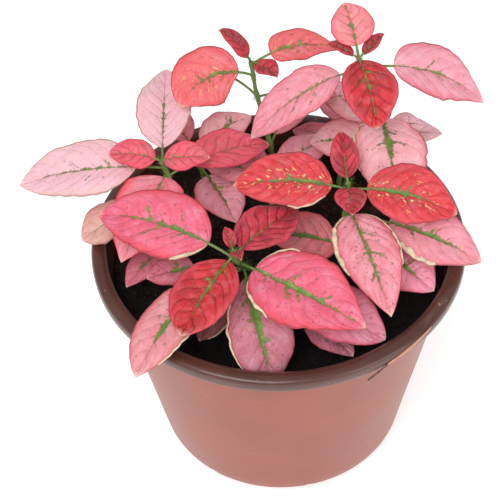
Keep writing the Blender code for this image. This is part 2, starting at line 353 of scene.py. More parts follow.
def spun(section, steps):
    form = bmesh.new()
    points = [form.verts.new((r * MM, 0, z * MM)) for r, z in section]
    edges = [form.edges.new(pair) for pair in zip(points, points[1:])]
    bmesh.ops.spin(form, geom=points + edges, cent=ORIGIN, axis=UP, angle=2 * pi, steps=steps,
                   use_merge=True)
    bmesh.ops.remove_doubles(form, verts=form.verts[:], dist=0.002 * MM)
    face_outwards(form)
    return form


def untrue(point):
    """A wall point moved in or out a little, less at the foot and not at the axis."""
    flat = Vector((point.x, point.y, 0))
    if flat.length < 30 * MM:
        return point
    swell = noise.noise(Vector((point.x, point.y, point.z * 0.5)) / (24 * MM))
    return point + flat.normalized() * swell * WOBBLE * MM * min(1, point.z / (20 * MM))


pot_form = spun(pot_section, SPIN_STEPS)
move_points(pot_form, untrue)
print("pot:", len(pot_form.faces), "faces")

# %% [markdown]
# Outside, the pot is terracotta. The rim and the inside are dark brown, the colour of the sheet's other
# face. Each face takes its material from its place: the wall below the skirt, and the foot, are
# terracotta when they face outwards or down.

# %% Which face has which finish
OUTSIDE = 0
INSIDE = 1


def pot_finish(face):
    middle = face.calc_center_median() / MM
    radius = Vector((middle.x, middle.y)).length
    if middle.z > WALL_TOP_HEIGHT - 0.3:
        return INSIDE
    if middle.z < 0.6:
        return OUTSIDE
    if middle.z < FOOT_HEIGHT + 0.6:
        slope = FOOT_RADIUS + (middle.z / FOOT_HEIGHT) * (WALL_FOOT - FOOT_RADIUS)
        return OUTSIDE if radius > slope - WALL / 2 else INSIDE
    return OUTSIDE if radius > inner_radius(middle.z) + WALL / 2 else INSIDE


for face in pot_form.faces:
    face.material_index = pot_finish(face)

# %% [markdown]
# Handling and potting leave fine marks on such a sheet: cloudy patches, and long scratches that run
# round the wall where pots slide into each other. Both finishes use them, so they are a node group. It
# reads the place on the object, squeezed in height so that the scratches come out long.

# %% Group: handling marks
marks, entry, result = new_group(
    "handling_marks", {"Place": "Vector", "Grain": "Float"},
    {"Cloud": "Float", "Scratches": "Float", "Grit": "Float"})
patches = cloud(marks, entry["Place"], 38, 4)
streaks = cloud(marks, stretched(marks, entry["Place"], (60, 60, 1500)), 1, 3)
grit = cloud(marks, entry["Place"], 1400, 2)
feed(marks, result["Cloud"], patches)
feed(marks, result["Scratches"], ramp(marks, streaks, 0.60, 0.72))
feed(marks, result["Grit"], ramp(marks, maths(marks, "MULTIPLY", grit, entry["Grain"]), 0.64, 0.74))

# %% [markdown]
# The terracotta plastic is dull and smooth. Its colour drifts by a few shades, the scratches are a
# little paler, and a soft coat gives the bright edges that the wall shows where it turns away.

# %% Terracotta plastic
terracotta, tree, sockets = new_material(
    "terracotta_plastic", Roughness=0.42, Specular_IOR_Level=0.45, Coat_Weight=0.22, Coat_Roughness=0.3)
handled = placed_group(tree, marks, Place=object_place(tree), Grain=1.0)
wall_height = split(tree, object_place(tree))[2]
base = mixed(tree, ramp(tree, handled["Cloud"], 0.3, 0.7), paint(139, 58, 37), paint(154, 75, 53))
base = mixed(tree, ramp(tree, wall_height, 0.012, 0.0, 0.0, 0.35), base, paint(150, 88, 72))
base = mixed(tree, maths(tree, "MULTIPLY", handled["Scratches"], 0.12), base, paint(212, 150, 134))
base = mixed(tree, maths(tree, "MULTIPLY", handled["Grit"], 0.45), base, paint(108, 52, 38))
feed(tree, sockets["Base Color"], base)
feed(tree, sockets["Roughness"], ramp(tree, handled["Cloud"], 0.2, 0.8, 0.38, 0.52))
feed(tree, sockets["Normal"], raised(tree, handled["Scratches"], 0.00005, 0.4))

# %% [markdown]
# The dark face of the sheet is glossier on the rolled rim, where the mould has drawn it thin, and
# carries dust and grains of potting mix.

# %% Dark brown plastic
dark_plastic, tree, sockets = new_material(
    "dark_brown_plastic", Roughness=0.38, Specular_IOR_Level=0.4, Coat_Weight=0.45, Coat_Roughness=0.14)
handled = placed_group(tree, marks, Place=object_place(tree), Grain=1.04)
base = mixed(tree, ramp(tree, handled["Cloud"], 0.35, 0.7), paint(76, 38, 28), paint(96, 54, 43))
base = mixed(tree, maths(tree, "MULTIPLY", handled["Scratches"], 0.35), base, paint(140, 104, 94))
base = mixed(tree, maths(tree, "MULTIPLY", handled["Grit"], 0.5), base, paint(38, 24, 20))
dust = ramp(tree, cloud(tree, object_place(tree), 700, 2, 5), 0.70, 0.76, 0.0, 0.6)
base = mixed(tree, dust, base, paint(198, 176, 164))
feed(tree, sockets["Base Color"], base)
feed(tree, sockets["Roughness"], ramp(tree, handled["Cloud"], 0.2, 0.8, 0.34, 0.5))
feed(tree, sockets["Normal"], raised(tree, handled["Grit"], 0.00008, 0.5))

# %% [markdown]
# Eight drain holes are punched through the corner of the foot, and six through the floor. A hole
# through a spun wall is simplest as a Boolean cut, which is applied at once, so that the finished mesh
# holds the holes.

# %% Punch the drain holes
FOOT_HOLES = 8
FOOT_HOLE_RADIUS = 3.4
FLOOR_HOLES = 6
FLOOR_HOLE_RADIUS = 3.5
FLOOR_HOLE_CIRCLE = 23
PUNCH_LENGTH = 5


def punch(form, middle, direction, radius):
    turn = direction.to_track_quat("Z", "Y").to_matrix().to_4x4()
    bmesh.ops.create_cone(form, cap_ends=True, segments=24, radius1=radius * MM, radius2=radius * MM,
                          depth=PUNCH_LENGTH * MM, matrix=Matrix.Translation(middle * MM) @ turn)


def round_the_axis(count, radius, height, start=0.0):
    for number in range(count):
        angle = start + number * 2 * pi / count
        outwards = Vector((cos(angle), sin(angle), 0))
        yield outwards * radius + UP * height, outwards


def punches():
    form = bmesh.new()
    corner = (FOOT_RADIUS + WALL_FOOT) / 2
    for middle, outwards in round_the_axis(FOOT_HOLES, corner, FOOT_HEIGHT / 2, pi / 16):
        square = outwards * FOOT_HEIGHT + UP * (FOOT_RADIUS - WALL_FOOT)
        punch(form, middle, square, FOOT_HOLE_RADIUS)
    for middle, _ in round_the_axis(FLOOR_HOLES, FLOOR_HOLE_CIRCLE, FLOOR / 2):
        punch(form, middle, UP, FLOOR_HOLE_RADIUS)
    mesh = bpy.data.meshes.new("punches")
    form.to_mesh(mesh)
    form.free()
    tool = bpy.data.objects.new("punches", mesh)
    scene.collection.objects.link(tool)
    return tool


def cut_with(piece, tool):
    cut = piece.modifiers.new("holes", "BOOLEAN")
    cut.operation = "DIFFERENCE"
    cut.solver = "EXACT"
    cut.object = tool
    finished = piece.evaluated_get(bpy.context.evaluated_depsgraph_get())
    mesh = bpy.data.meshes.new_from_object(finished)
    piece.modifiers.clear()
    piece.data = mesh
    bpy.data.objects.remove(tool)


nursery_pot = finish_piece("nursery_pot", pot_form, [terracotta, dark_plastic], ["pot"])
cut_with(nursery_pot, punches())
nursery_pot.data.set_sharp_from_angle(angle=radians(40))
print("pot with its holes:", len(nursery_pot.data.polygons), "faces")

# %% [markdown]
# The potting mix is moist and nearly black, with bits of bark and fibre. A solid fills the pot, with a
# hair's gap to its wall. It is spun in fine rings, and its top is heaved by noise of two sizes. Loose
# crumbs on a smooth top would look like gravel on paint, so both are needed.

# %% The body of the potting mix
SOIL_HEIGHT = 76.6
SOIL_GAP = 0.3
SOIL_SPIN_STEPS = 220


def soil_height(x, y):
    """The height of the mix in mm, which heaves by less than a millimetre."""
    return SOIL_HEIGHT + 0.45 * (sin(0.31 * x + 0.9) * cos(0.27 * y) + sin(0.3 * y - 0.2 * x))


def heaved(point):
    """A point of the mix's flat top, moved to the heaved and crumbly surface."""
    if point.z < (SOIL_HEIGHT - 0.01) * MM:
        return point
    x, y = point.x / MM, point.y / MM
    crumble = noise.fractal(Vector((x, y, 0)) / 2.6, 1.0, 2.0, 3) * 0.75
    return Vector((point.x, point.y, (soil_height(x, y) + crumble) * MM))


soil_edge = inner_radius(SOIL_HEIGHT) - SOIL_GAP
soil_section = [(0, FLOOR), (inner_radius(FOOT_HEIGHT + 2) - 3.5, FLOOR),
                (inner_radius(FOOT_HEIGHT + 4) - SOIL_GAP, FOOT_HEIGHT + 4), (soil_edge, SOIL_HEIGHT)]
soil_top = evenly_filled([(soil_edge, SOIL_HEIGHT), (0, SOIL_HEIGHT)], 0.8)
soil_form = spun(soil_section + soil_top[1:], SOIL_SPIN_STEPS)
move_points(soil_form, heaved)
print("potting mix:", len(soil_form.faces), "faces")

# %% [markdown]
# Moist peat is almost black with brown fibres, and glints here and there. Two noises set its browns:
# a broad one for damp patches, and a fine one for grains. Towards the front, shade is painted in: the
# mix goes almost black there.

# %% Potting mix
soil_finish, tree, sockets = new_material("moist_potting_mix", Roughness=0.85, Specular_IOR_Level=0.2)
damp = cloud(tree, object_place(tree), 90, 3)
grains = cloud(tree, object_place(tree), 900, 4)
# How much of the mix's own colour is left under the painted shade, which is low at the front.
unshaded_share = ramp(tree, split(tree, object_place(tree))[1], -0.03, 0.02, 0.15, 1.0)
base = mixed(tree, ramp(tree, damp, 0.35, 0.65), paint(20, 15, 12), paint(44, 31, 23))
base = mixed(tree, ramp(tree, grains, 0.54, 0.68), base, paint(92, 66, 50))
base = mixed(tree, ramp(tree, grains, 0.45, 0.33), base, paint(8, 7, 7))
# Painted shade: towards the front the mix goes over to near black.
base = mixed(tree, unshaded_share, paint(2, 2, 3), base)
feed(tree, sockets["Base Color"], base)
feed(tree, sockets["Roughness"], ramp(tree, grains, 0.3, 0.7, 0.6, 0.9))
feed(tree, sockets["Normal"], raised(tree, grains, 0.0006))
finish_piece("potting_mix_body", soil_form, [soil_finish], ["potting_mix"])

# %% [markdown]
# The crumbs are small stones of mix and flat chips of bark. Each is an icosphere of twenty faces,
# squashed and turned by seeded chance, and sunk a little into the top. All of them are one piece.

# %% Crumbs and bark chips
CRUMBS = 900
CHIPS = 110


def scatter(form, chance, count, least, most, flatness):
    for _ in range(count):
        angle = chance.uniform(0, 2 * pi)
        far = (soil_edge - most) * chance.random() ** 0.5
        x, y = far * cos(angle), far * sin(angle)
        size = least + (most - least) * chance.random() ** 2
        place = Vector((x, y, soil_height(x, y) + size * 0.15)) * MM
        turn = Matrix.Rotation(chance.uniform(0, 2 * pi), 4, "Z") @ Matrix.Rotation(
            chance.uniform(-0.5, 0.5), 4, "X")
        shape = Matrix.Diagonal((1, chance.uniform(0.45, 0.9), flatness, 1))
        bmesh.ops.create_icosphere(form, subdivisions=1, radius=size * MM,
                                   matrix=Matrix.Translation(place) @ turn @ shape)


crumb_form = bmesh.new()
crumb_chance = random.Random(4)
scatter(crumb_form, crumb_chance, CRUMBS, 0.35, 1.3, 0.7)
scatter(crumb_form, crumb_chance, CHIPS, 0.9, 2.6, 0.22)
print("crumbs:", len(crumb_form.faces), "faces")
finish_piece("potting_mix_crumbs", crumb_form, [soil_finish], ["potting_mix"], sharp=30)

# %% [markdown]
# Each shoot is a bent stem with leaves at heights on it. A leaf is given by the numbers that a gardener
# could measure: where it joins, which way it points, how it rises and bends down, the length of its
# stalk and blade, and how the blade is rolled. The same numbers made the CAD solids, so the fine
# leaves lie where the plain ones do. The first word of each row names the leaf's colouring.

# %% Table of shoots and leaves
Leaf = namedtuple("Leaf", "height turn swing rise bend stalk length width roll widest", defaults=[0.42])

STEMS = {
    "left": ([(-25, 4, 77), (-31, 8, 92), (-35, 12, 104), (-36, 12, 108)], [
        ("pale", Leaf(105, 178, 5, 6, 26, 9, 39, 22, -13)),
        ("bright", Leaf(102, 32, -6, 12, 36, 8, 30, 17, 5)),
        ("pale", Leaf(107, 91, 0, 13, 20, 6, 39, 18, 0)),
        ("blush", Leaf(103, -111, -8, -2, 30, 2, 32, 22, 0, 0.36)),
        ("bright", Leaf(108, 180, 0, 30, 36, 2, 15, 11, -15)),
        ("bright", Leaf(108, -5, 0, 24, 34, 1, 15, 11, 15)),
        ("tan", Leaf(93, 190, 14, 4, 30, 13, 21, 18, 0, 0.5)),
        ("old_rose", Leaf(86, -127, 0, 6, 22, 12, 20, 11, 0)),
    ]),
    "back": ([(1, 30, 77), (-2, 34, 96), (-6, 38, 115), (-7, 39, 125)], [
        ("coral", Leaf(120, 155, 95, 6, 34, 5, 24, 21, -30, 0.45)),
        ("coral", Leaf(124, 18, -14, 30, 60, 7, 24, 14, 10, 0.28)),
        ("crimson", Leaf(126, 159, 0, 62, 34, 2, 13, 8, 0)),
        ("crimson", Leaf(125, -38, 0, 15, 40, 2, 9, 8, 0)),
        ("soft_pink", Leaf(112, 125, 20, 8, 36, 14, 18, 13, 0)),
        ("old_rose", Leaf(112, 14, -8, 8, 34, 9, 19, 13, 0)),
        ("soft_pink", Leaf(94, 68, 0, 16, 26, 5, 22, 14, 0)),
    ]),
    "back_right": ([(36, 21, 77), (37, 28, 94), (34, 31, 110), (28, 28, 127), (26, 27, 135)], [
        ("warm", Leaf(134, 108, 0, 60, 34, 4, 14, 14, 0)),
        ("crimson", Leaf(134, 160, 0, 36, 30, 2, 9, 5, 0)),
        ("crimson", Leaf(134, 35, 0, 36, 10, 2, 9, 5, 0)),
        ("soft_pink", Leaf(130, 192, 6, -7, 44, 7, 35, 16, -18, 0.4)),
        ("petal", Leaf(130, 2, -10, 8, 56, 10, 33, 22, 10, 0.34)),
        ("scarlet", Leaf(134, -77, 4, -2, 66, 1, 23, 17, 0, 0.45)),
        ("shell", Leaf(108, -84, 0, 10, 60, 2, 35, 23, 0)),
        ("pink", Leaf(108, 95, 0, 8, 34, 4, 24, 15, 0)),
        ("pale", Leaf(104, 2, 0, 14, 30, 3, 11, 10, 0)),
        ("shell", Leaf(102, 132, 0, 18, 28, 5, 27, 15, 0)),
        ("shell", Leaf(98, 174, 0, 10, 26, 3, 22, 17, -18)),
    ]),
    "right": ([(20, -5, 77), (21, -3, 92), (22, 0, 103), (22, 0, 108)], [
        ("red", Leaf(105, 175, 4, 18, 34, 5, 31, 20, -15)),
        ("red", Leaf(105, -13, -2, 14, 42, 6, 29, 21, 14)),
        ("crimson", Leaf(107, 98, 0, 46, 16, 2, 15, 9, 0)),
        ("crimson", Leaf(107, -86, 0, 12, 40, 2, 10, 10, 0)),
        ("dappled", Leaf(100, -76, 4, 4, 34, 6, 36, 19, 0, 0.38)),
        ("soft_pink", Leaf(96, -20, -2, 8, 34, 14, 31, 20, 10)),
        ("rose", Leaf(89, -40, 0, 8, 28, 15, 20, 20, 0)),
        ("warm", Leaf(84, -174, 0, 34, 30, 2, 24, 18, -14)),
    ]),
    "front": ([(-5, -13, 77), (-8, -19, 90), (-13, -24, 100), (-13, -25, 105)], [
        ("pink", Leaf(101, 150, 12, 18, 34, 9, 38, 23, -15, 0.4)),
        ("pink", Leaf(98, -36, 7, 6, 22, 6, 38, 27, 4, 0.38)),
        ("crimson", Leaf(103, 48, 0, 6, 22, 3, 26, 17, 0)),
        ("scarlet", Leaf(103, -120, 0, 6, 30, 3, 28, 19, 0, 0.5)),
        ("crimson", Leaf(105, 110, 0, 40, 20, 1, 7, 4, 0)),
        ("crimson", Leaf(105, -70, 0, 40, 20, 1, 7, 4, 0)),
        ("faded", Leaf(93, -149, 36, 6, 26, 14, 36, 17, 0, 0.46)),
        ("mauve", Leaf(95, -81, 10, 6, 66, 5, 33, 19, 0, 0.6)),
        ("rose", Leaf(88, -36, 10, 4, 22, 15, 31, 20, 4, 0.5)),
        ("mauve", Leaf(84, -46, 0, 4, 20, 22, 19, 13, 0)),
        ("rose_in_painted_shade", Leaf(88, -130, 0, 0, 34, 14, 14, 11, 0)),
        ("old_rose", Leaf(90, 172, 20, 6, 18, 18, 15, 13, 0)),
    ]),
    "middle": ([(0, 8, 77), (-2, 14, 88), (-3, 18, 95)], [
        ("soft_pink", Leaf(94, 152, 6, 10, 22, 4, 20, 14, -8)),
        ("petal", Leaf(93, 48, 0, 10, 24, 6, 26, 14, 0)),
        ("soft_pink", Leaf(90, 116, 0, 16, 22, 6, 24, 12, 0)),
        ("crimson", Leaf(95, -60, 0, 40, 20, 1, 8, 5, 0)),
    ]),
    "back_left": ([(-23, 25, 77), (-25, 29, 88), (-27, 32, 96)], [
        ("shell", Leaf(95, 38, 0, 18, 28, 3, 21, 15, 0)),
        ("petal", Leaf(89, -62, 0, 2, 24, 5, 21, 17, 0)),
        ("soft_pink", Leaf(95, 128, 0, 20, 30, 4, 24, 14, 0)),
    ]),
    "far_back": ([(22, 34, 77), (24, 39, 86), (25, 42, 93)], [
        ("pale", Leaf(90, 2, 0, 10, 20, 14, 19, 13, 0)),
        ("soft_pink", Leaf(92, 100, 0, 14, 30, 4, 24, 14, 0)),
        ("old_rose", Leaf(90, 52, 0, 8, 30, 5, 22, 13, 0)),
        ("old_rose", Leaf(88, 150, 0, 8, 26, 4, 17, 12, 0)),
    ]),
}
print("leaves:", sum(len(leaves) for path, leaves in STEMS.values()))

# %% [markdown]
# A leaf's middle line starts on the stem and runs on in short straight steps, while its direction
# swings and bends. The blade is spread to both sides of this line: along runs from 0 at its base to 1
# at its tip, and across from -1 at its right margin to 1 at its left one.

# %% A leaf's middle line and outline
LINE_STEPS = 40
FULLNESS = 1.5
TIP_WIDTH = 0.16


def place_on_stem(path, height):
    for lower, upper in zip(path, path[1:]):
        if height <= upper[2] or upper is path[-1]:
            share = (height - lower[2]) / (upper[2] - lower[2])
            return Vector(lower).lerp(Vector(upper), min(max(share, 0), 1))


def middle_line(start, leaf):
    step = (leaf.stalk + leaf.length) / LINE_STEPS
    point = start.copy()
    line = []
    for number in range(LINE_STEPS + 1):
        share = number / LINE_STEPS
        turn = radians(leaf.turn + leaf.swing * share)
        rise = radians(leaf.rise - leaf.bend * share)
        ahead = Vector((cos(turn) * cos(rise), sin(turn) * cos(rise), sin(rise)))
        line.append((point.copy(), ahead))
        point += ahead * step
    return line


def on_line(line, share):
    place = min(share * LINE_STEPS, LINE_STEPS - 0.001)
    number = int(place)
    return line[number][0].lerp(line[number + 1][0], place - number), line[number][1]


def half_width(leaf, along):
    base = FULLNESS * leaf.widest
    tip = FULLNESS * (1 - leaf.widest)
    full = leaf.widest ** base * (1 - leaf.widest) ** tip
    shape = along ** base * (1 - along) ** tip / full
    return max(leaf.width / 2 * shape, TIP_WIDTH)


# %% [markdown]
# The side veins leave the middle rib and lean towards the tip, more and more as they near the margin,
# and no two of them run quite alike. A row number says how many veins lie before a point, counted along
# the rib. It shapes the blade here and colours it in the shader, so relief and colour agree.

# %% Side veins
VEIN_LEAN = 0.22
VEIN_CURL = 0.12
VEIN_SHIFT = 0.4
VEIN_STRAY = 0.55


def vein_row(leaf, along, across, seed):
    out = abs(across)
    veins = 3 + leaf.length / 8
    stray = noise.noise(Vector((along * 2.6, across * 1.8, seed * 1.7))) * min(1, out * 2)
    return (along - VEIN_LEAN * out - VEIN_CURL * out ** 3) * veins + VEIN_STRAY * stray


def vein_closeness(row, across):
    """1 on a side vein and 0 half way between two of them."""
    return abs((row + (VEIN_SHIFT if across < 0 else 0)) % 1 - 0.5) * 2


# %% [markdown]
# The blade is folded up a little along its rib, arched down at the margins and waved, as in the CAD.
# On top of that come the fine forms: the blade buckles, swells between the veins, sinks along the rib,
# and its margin ripples.

# %% A point of the blade
FOLD = 0.42
ARCH = 0.30
WAVE = 0.07
WAVES = 1.6
WAVE_SHIFT = 2.2
RIPPLE = 0.07
BUCKLE = 0.55


def blade_frame(line, leaf, along):
    share = (leaf.stalk + along * leaf.length) / (leaf.stalk + leaf.length)
    point, ahead = on_line(line, share)
    side = UP.cross(ahead).normalized()
    up = ahead.cross(side)
    roll = radians(leaf.roll)
    return point, side * cos(roll) + up * sin(roll), up * cos(roll) - side * sin(roll)


def blade_point(frame_here, leaf, along, across, row, quilt, seed):
    point, side, up = frame_here
    half = half_width(leaf, along)
    out = abs(across)
    wave = WAVE * out ** 2 * sin(2 * pi * WAVES * along + (WAVE_SHIFT if across > 0 else 0))
    ripple = RIPPLE * out ** 3 * noise.noise(Vector((along * leaf.length / 4, across * 2, seed)))
    lift = (FOLD * out - ARCH * out ** 2 + wave + ripple) * half
    inside = min(1, half / 5) * (1 - out ** 4)
    swell = quilt * inside * (0.4 - vein_closeness(row, across) ** 3)
    swell += BUCKLE * inside * noise.noise(Vector((along * leaf.length / 5, across * half / 4, seed)))
    swell -= quilt * exp(-(across * half / 0.6) ** 2)
    ragged = 1 + 0.05 * out * noise.noise(Vector((along * leaf.length / 2.5, seed, across)))
    return point + side * across * half * ragged + up * (lift + swell)


# %% [markdown]
# The colourings are mixed from looking at the plant: pale old leaves, saturated young ones, mauve
# leaves low in the shade, and a dark brown-rose that paints shade onto a hidden leaf. Each names the
# blade's colour and its margin's, and how much it shows of green along the veins, cream flecks, dark
# painted shade in the grooves and green specks, and how deeply it is quilted.

# %% Table of colourings
Look = namedtuple("Look", "tint edge green cream grooves specks quilt")
LOOKS = {
    "pale": Look((253, 196, 208), (250, 200, 196), 0.35, 0.10, 0.03, 0.04, 0.16),
    "petal": Look((252, 172, 188), (240, 128, 144), 0.7, 0.08, 0.06, 0.07, 0.22),
    "shell": Look((255, 192, 200), (240, 142, 152), 0.9, 0.10, 0.06, 0.15, 0.22),
    "soft_pink": Look((247, 158, 174), (240, 132, 146), 0.7, 0.35, 0.10, 0.15, 0.22),
    "blush": Look((248, 146, 164), (246, 92, 106), 0.25, 0.05, 0.16, 0.03, 0.18),
    "pink": Look((246, 112, 142), (232, 82, 98), 1.0, 0.10, 0.15, 0.40, 0.30),
    "dappled": Look((246, 156, 170), (230, 112, 128), 1.3, 0.08, 0.12, 0.70, 0.42),
    "bright": Look((250, 104, 122), (246, 90, 108), 0.05, 0.00, 0.60, 0.00, 0.34),
    "coral": Look((247, 116, 122), (238, 100, 104), 0.9, 0.70, 0.14, 0.15, 0.24),
    "warm": Look((255, 148, 154), (252, 116, 128), 0.6, 0.20, 0.45, 0.08, 0.34),
    "red": Look((232, 58, 70), (232, 86, 94), 0.9, 1.00, 0.40, 0.12, 0.38),
    "scarlet": Look((210, 36, 46), (222, 78, 90), 0.6, 0.08, 0.85, 0.08, 0.52),
    "crimson": Look((204, 50, 68), (214, 76, 92), 0.15, 0.0, 1.00, 0.05, 0.66),
    "old_rose": Look((232, 126, 146), (204, 92, 110), 0.8, 0.15, 0.20, 0.50, 0.22),
    "rose": Look((255, 158, 182), (232, 112, 136), 0.9, 0.15, 0.15, 0.40, 0.22),
    "faded": Look((238, 156, 164), (222, 118, 124), 0.9, 0.20, 0.14, 0.35, 0.22),
    "mauve": Look((206, 124, 142), (190, 98, 112), 0.9, 0.15, 0.12, 0.40, 0.22),
    # A dark brown-rose copy of the pinks: painted shade for a low, hidden leaf.
    "rose_in_painted_shade": Look((170, 98, 104), (140, 72, 76), 0.6, 0.30, 0.20, 0.30, 0.25),
    "tan": Look((236, 186, 172), (222, 156, 146), 0.2, 0.25, 0.12, 0.15, 0.20),
}

# %% [markdown]
# The green of the veins shows in ragged strokes: along the rib, out along a few side veins, and in
# blots. A stroke is a line on the blade that tapers from one radius to another, in mm. Strokes come
# from seeded chance, and a leaf that shows its pattern well has its reach and side veins written down.

# %% Green strokes
THIN_START = 0.6
FINE_END = 0.12
Stroke = namedtuple("Stroke", "along across to_along to_across radius end_radius")


def chance_strokes(chance, green):
    strokes = [Stroke(0, 0, chance.uniform(0.75, 0.95), 0, 0.25 + 0.25 * green, 0.05)]
    for _ in range(2 + round(4 * green)):
        start = chance.uniform(0.1, 0.6)
        side = chance.choice((-1, 1))
        reach = chance.uniform(0.12, 0.2 + 0.3 * green)
        size = green * chance.uniform(0.4, 1.0)
        strokes.append(Stroke(start, 0, start + VEIN_LEAN * reach, side * reach, size, 0.12))
    for _ in range(round(2.4 * green)):
        start = chance.uniform(0.15, 0.6)
        strokes.append(Stroke(start, 0, start + 0.08, 0, chance.uniform(0.6, 1.3) * green, 0.3))
    return strokes


def written_strokes(reach, widest, radius, side_veins):
    """Green along the rib as far as reach, with its radius at the widest place, and out along side veins."""
    strokes = [
        Stroke(0, 0, widest, 0, THIN_START * radius, radius),
        Stroke(widest, 0, reach, 0, radius, FINE_END)]
    for start, across in side_veins:
        end = start + VEIN_LEAN * abs(across)
        strokes.append(Stroke(start, 0, end, across, THIN_START * radius, FINE_END))
    return strokes


# For each leaf: the reach and the widest place along the blade, the radius there in mm, and the side
# veins that show green, as the start along the rib and the side and share of the half width.
GREEN = {label: written_strokes(*row) for label, row in {
    "left_1": (0.8, 0.5, 0.6, [(0.2, -0.4), (0.3, 0.5), (0.5, -0.4)]),
    "left_3": (0.6, 0.3, 0.5, [(0.3, 0.2), (0.3, -0.2)]),
    "left_8": (0.7, 0.6, 0.6, [(0.1, -0.4)]),
    "back_1": (0.7, 0.3, 0.8, [(0.2, 0.3), (0.4, 0.3), (0.5, -0.3)]),
    "back_left_2": (0.8, 0.3, 0.8, [(0.3, 0.5)]),
    "back_right_1": (0.9, 0.5, 0.6, [(0.7, -0.4), (0.4, 0.3)]),
    "back_right_4": (0.6, 0.2, 0.4, [(0.2, 0.6), (0.4, 0.6)]),
    "back_right_5": (0.7, 0.4, 0.6, [(0.2, -0.4), (0.3, 0.4), (0.4, -0.3)]),
    "back_right_6": (0.9, 0.4, 0.5, [(0.3, -0.4), (0.2, 0.4), (0.4, 0.2)]),
    "back_right_7": (0.6, 0.4, 1.2, [(0.2, 0.3), (0.3, 0.5), (0.3, -0.5)]),
    "back_right_11": (0.9, 0.7, 0.6, [(0.3, 0.2)]),
    "right_1": (0.8, 0.3, 1.1, [(0.1, 0.4), (0.3, 0.3), (0.4, -0.2)]),
    "right_2": (0.7, 0.3, 1.2, [(0.1, -0.2), (0.4, -0.3), (0.4, 0.3)]),
    "right_3": (0.5, 0.2, 0.4, []),
    "right_5": (0.8, 0.4, 0.9, [(0.2, 0.5), (0.4, 0.5), (0.4, -0.5), (0.6, -0.4), (0.6, 0.3)]),
    "right_6": (0.8, 0.5, 1.1, [(0.2, -0.4), (0.4, 0.3)]),
    "right_7": (0.7, 0.4, 1.2, [(0.4, 0.5), (0.3, -0.3)]),
    "right_8": (0.7, 0.6, 1.1, []),
    "front_1": (0.8, 0.3, 0.9, [(0.2, 0.5), (0.2, -0.5), (0.4, 0.6), (0.4, -0.3), (0.5, -0.5)]),
    "front_2": (0.9, 0.4, 1.1, [(0.1, -0.3), (0.3, 0.4), (0.3, -0.6), (0.4, -0.5), (0.6, 0.3)]),
    "front_3": (0.6, 0.3, 0.5, []),
    "front_4": (0.8, 0.4, 0.8, [(0.1, 0.4), (0.4, 0.3), (0.3, -0.3)]),
    "front_7": (0.7, 0.6, 1.1, [(0.4, -0.5), (0.3, 0.3)]),
    "front_8": (0.9, 0.4, 1.8, [(0.2, -0.6), (0.4, -0.3), (0.6, 0.3)]),
    "front_12": (0.5, 0.4, 1.1, [(0.3, -0.6), (0.2, 0.4)]),
}.items()}


def distance_to(stroke, leaf, half, along, across):
    """How far a point of the blade lies inside a stroke, in mm, and below 0 outside it."""
    x, y = along * leaf.length, across * half
    x0, y0 = stroke.along * leaf.length, stroke.across * half
    dx = (stroke.to_along - stroke.along) * leaf.length
    dy = (stroke.to_across - stroke.across) * half
    share = ((x - x0) * dx + (y - y0) * dy) / max(dx * dx + dy * dy, 1e-6)
    share = min(max(share, 0), 1)
    away = ((x - x0 - share * dx) ** 2 + (y - y0 - share * dy) ** 2) ** 0.5
    return stroke.radius + share * (stroke.end_radius - stroke.radius) - away


# %% [markdown]
# On some leaves a stretch of the margin is rolled up and shows its cream underside as a ribbon. A curl
# says on which side it is, from where to where, how wide the ribbon is in mm, and how far it turns.

# %% Curled margins
Curl = namedtuple("Curl", "side start end width turn", defaults=[250])
CURL_STEPS = 6
CURLS = {
    "right_5": [Curl(-1, 0.0, 0.60, 3.4), Curl(1, 0.02, 0.62, 1.3)],
    "right_1": [Curl(1, 0.05, 0.45, 1.2)],
    "front_2": [Curl(1, 0.0, 0.24, 1.9), Curl(-1, 0.03, 0.36, 2.0)],
    "front_1": [Curl(1, 0.0, 0.22, 2.8)],
    "front_8": [Curl(-1, 0.08, 0.85, 1.1)],
    "back_right_7": [Curl(-1, 0.05, 0.60, 1.4)],
    "right_6": [Curl(-1, 0.05, 0.60, 3.0, 170)],
    "front_7": [Curl(1, 0.35, 0.85, 1.0)],
    "front_11": [Curl(1, 0.1, 0.9, 1.0), Curl(-1, 0.1, 0.9, 0.8)],
}

# %% [markdown]
# A blade starts as a flat grid, whose points are moved to the blade's surface. Each point also keeps
# numbers for the shader, in layers that go with the mesh: its place on the blade as shares and in mm,
# how far it lies inside the green, its row among the side veins, and the leaf's colours. These don't
# slide when the leaf bends.

# %% The blade's surface
CELL = 0.5


def new_layers(form):
    layers = form.verts.layers
    return {
        "leaf_share": layers.float_vector.new("leaf_share"),
        "leaf_place": layers.float_vector.new("leaf_place"),
        "leaf_green": layers.float.new("leaf_green"),
        "leaf_vein": layers.float.new("leaf_vein"),
        "leaf_tint": layers.float_color.new("leaf_tint"),
        "leaf_edge": layers.float_color.new("leaf_edge"),
        "leaf_marks": layers.float_color.new("leaf_marks"),
    }


